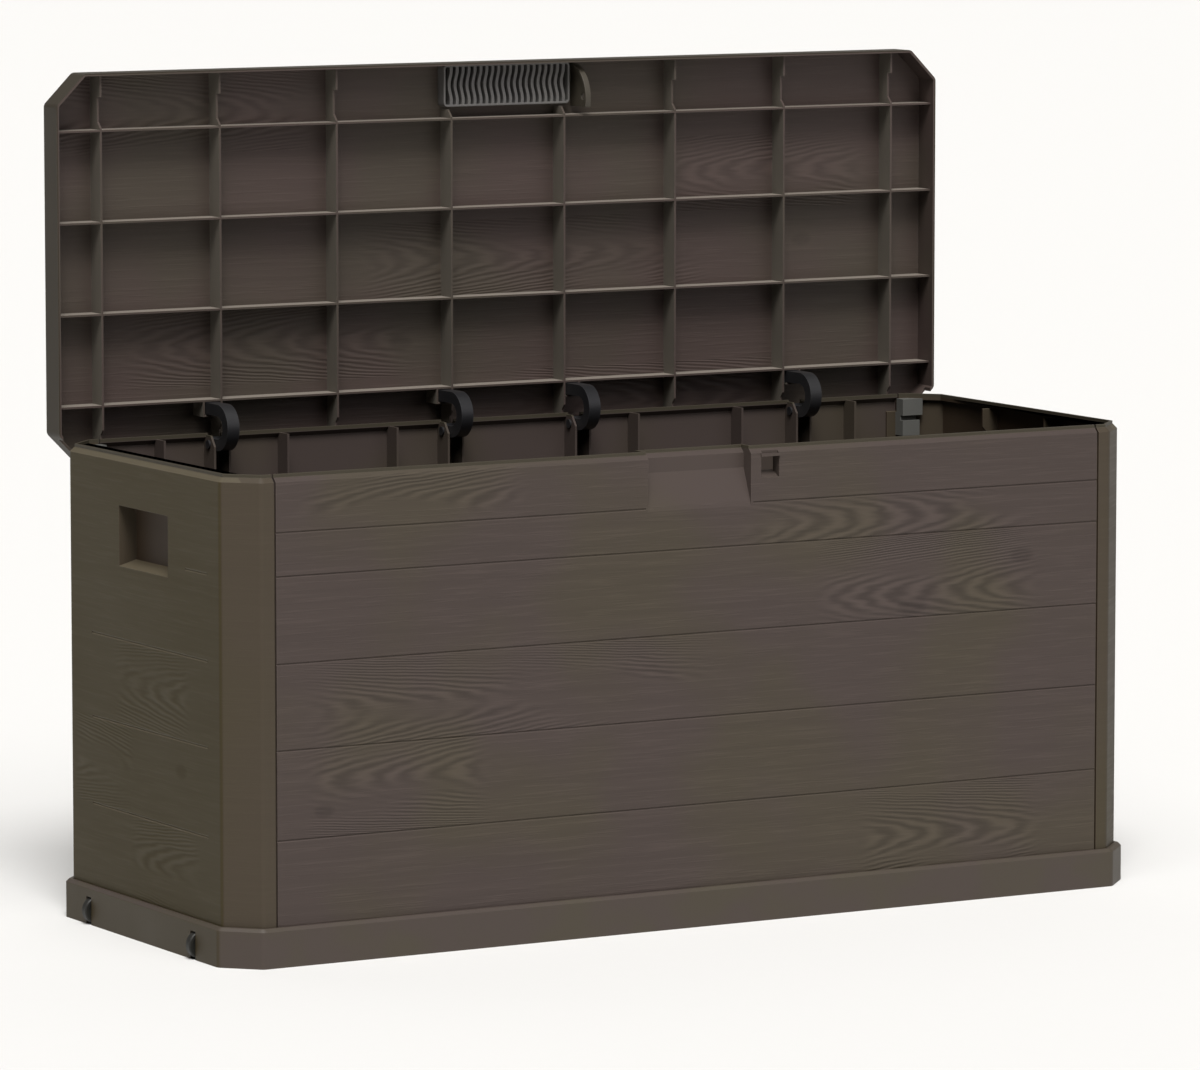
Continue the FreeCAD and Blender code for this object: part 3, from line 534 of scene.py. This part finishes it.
def roundedOutline(low, high, inset, corner, steps=6):
    left, right, bottom, top = low.x + inset, high.x - inset, low.z + inset, high.z - inset
    corner = max(corner - inset, 0.5 * mm)
    points = []
    for x, z, start in ((right - corner, top - corner, 0), (left + corner, top - corner, 90),
                        (left + corner, bottom + corner, 180), (right - corner, bottom + corner, 270)):
        for step in range(steps + 1):
            turn = math.radians(start + 90 * step / steps)
            points.append((x + corner * math.cos(turn), z + corner * math.sin(turn)))
    return points


def joinRows(mesh, rows, closed=False):
    for first, second in zip(rows, rows[1:] + rows[:1] if closed else rows[1:]):
        for i in range(len(first)):
            j = (i + 1) % len(first)
            mesh.faces.new((first[i], first[j], second[j], second[i]))


def makeGrip():
    g = gripLook
    low, high = (Vector(corner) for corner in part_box("lid_grip"))
    mesh = bmesh.new()
    rings = []
    for inset, y in ((0, low.y), (0, high.y), (g["rail"], high.y), (g["rail"], low.y)):
        outline = roundedOutline(low, high, inset, g["corner"])
        rings.append([mesh.verts.new((x, y, z)) for x, z in outline])
    joinRows(mesh, rings, closed=True)
    pitch = (high.x - low.x - g["rail"]) / (g["slats"] + 1)
    front = low.y + g["slatFront"]
    back = front + g["slatDepth"]
    half = g["slatThick"] / 2
    for number in range(1, g["slats"] + 1):
        centre = low.x + g["rail"] / 2 + pitch * number
        rows = []
        for step in range(g["steps"] + 1):
            share = step / g["steps"]
            z = high.z - g["rail"] / 2 - share * (high.z - low.z - g["rail"])
            x = centre + g["sway"] * math.sin(math.tau * (g["waves"] * share + g["start"]))
            corners = ((x - half, front), (x + half, front), (x + half, back), (x - half, back))
            rows.append([mesh.verts.new((across, y, z)) for across, y in corners])
        joinRows(mesh, rows)
        mesh.faces.new(rows[0])
        mesh.faces.new(rows[-1])
    bmesh.ops.recalc_face_normals(mesh, faces=mesh.faces)
    gripMesh = bpy.data.meshes.new("lidGrip")
    mesh.to_mesh(gripMesh)
    mesh.free()
    grip = bpy.data.objects.new("lidGrip", gripMesh)
    bpy.context.scene.collection.objects.link(grip)
    gripMesh.materials.append(finishes["grip"])
    edges = grip.modifiers.new("edges", "BEVEL")
    edges.width = g["edge"]
    edges.segments = 2
    edges.limit_method = "ANGLE"
    edges.angle_limit = math.radians(g["edgeTurn"])
    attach(grip, "lid")
    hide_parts("lid_grip")


makeGrip()
print("grip ready")


# rounded edges on the moulded pieces
edgeLook = {
    "weld": 0.02 * mm,
    "flat": 0.4,    # faces that turn less than this are joined, degrees
    "turn": 32,     # edges sharper than this are rounded, degrees
}
softEdges = {
    # radius on each piece, mm
    "front_panel": 0.9, "rear_panel": 0.9, "left_end_panel": 0.9, "right_end_panel": 0.9,
    "base_tray": 0.9, "lid_panel": 0.5, "lock_tongue": 0.5,
}
for name, radius in softEdges.items():
    node = nodes[name]
    weld = node.modifiers.new("weld", "WELD")
    weld.merge_threshold = edgeLook["weld"]
    flat = node.modifiers.new("flat", "DECIMATE")
    flat.decimate_type = "DISSOLVE"
    flat.angle_limit = math.radians(edgeLook["flat"])
    rounding = node.modifiers.new("round", "BEVEL")
    rounding.width = radius * mm
    rounding.segments = 2
    rounding.limit_method = "ANGLE"
    rounding.angle_limit = math.radians(edgeLook["turn"])
    rounding.use_clamp_overlap = True
    even = node.modifiers.new("even", "WEIGHTED_NORMAL")
    even.keep_sharp = True
print("edges rounded")


# floor
def makeFloor():
    bpy.ops.mesh.primitive_plane_add(size=room["floorSize"])
    floor = bpy.context.object
    floor.name = "floor"
    finish, tree, shader = newFinish("floorPaper")
    whole = position(tree)[0]
    fibre = noise(tree, whole, 40, 3, 0.6)
    base = mixColour(tree, between(tree, fibre, 0.3, 0.7, 0.0, 0.03), room["floorColour"], (0.8, 0.8, 0.8, 1))
    tree.links.new(base, shader.inputs["Base Color"])
    shader.inputs["Roughness"].default_value = 0.9
    floor.data.materials.append(finish)


def makeSky():
    world = bpy.data.worlds.new("sky")
    world.use_nodes = True
    sky = world.node_tree.nodes["Background"]
    sky.inputs["Color"].default_value = room["sky"]
    sky.inputs["Strength"].default_value = room["skyStrength"]
    bpy.context.scene.world = world


makeFloor()
makeSky()
bpy.context.scene.view_settings.view_transform = "Standard"
print("floor and sky ready")
